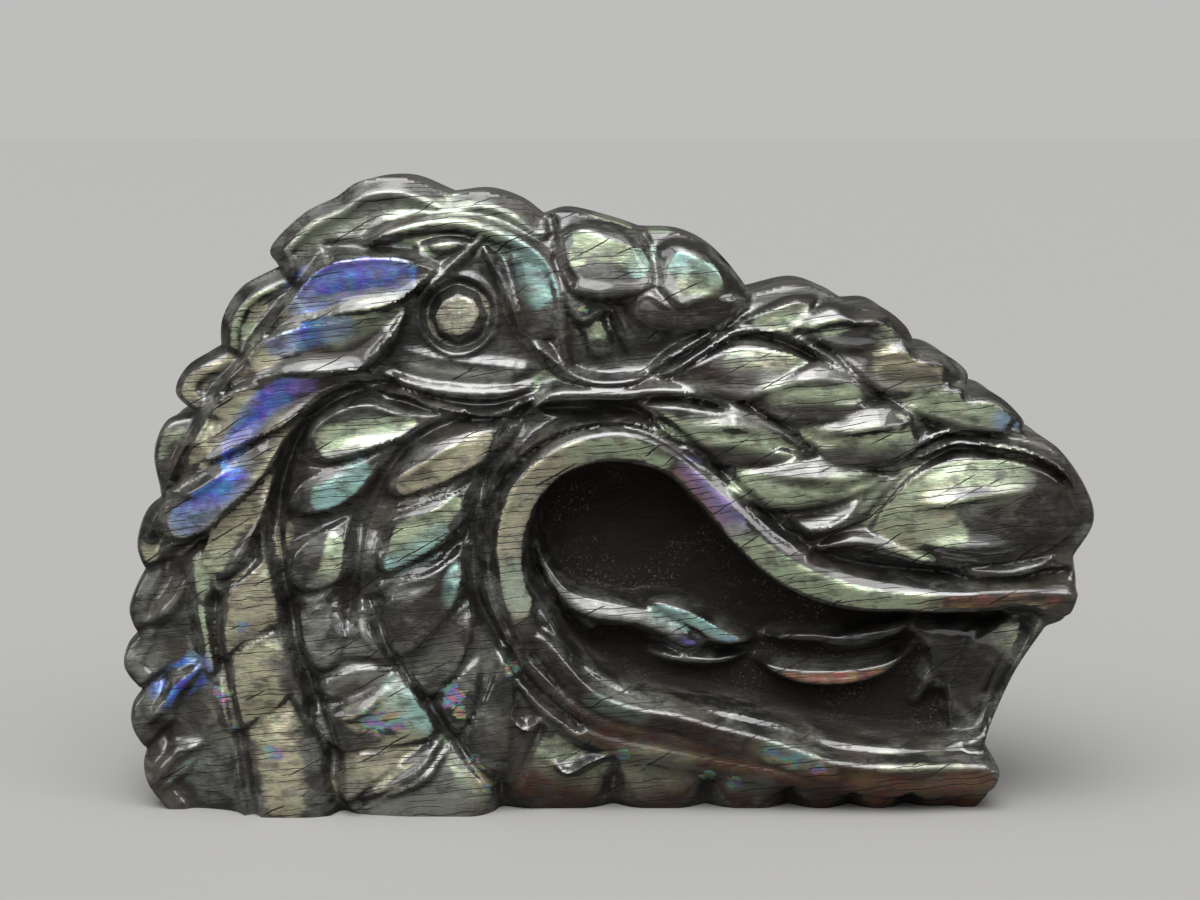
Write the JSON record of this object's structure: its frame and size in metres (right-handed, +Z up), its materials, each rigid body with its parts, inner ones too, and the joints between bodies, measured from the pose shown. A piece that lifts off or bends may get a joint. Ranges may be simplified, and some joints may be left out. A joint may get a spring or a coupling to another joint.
{
  "type": "carved stone dragon head",
  "caption": "Dragon's head carved from a thick slab of polished labradorite, with finned mane, domed eye, braided snout and open mouth, standing on its flat underside.",
  "frame": {"origin": "centre of the overall box on the flat underside, on the surface that the carving stands on", "axes": "+X towards the dragon's nose, along the length; +Y to the back of the slab, so the main face looks along -Y; +Z up"},
  "size_m": [0.299, 0.07, 0.195],
  "materials": {
    "labradorite": "polished dark grey-green labradorite with blue, green and gold flashes, fine cracks and rough groove bottoms"
  },
  "bodies": {
    "root": {"dragon_carving": "labradorite"}
  },
  "joints": []
}
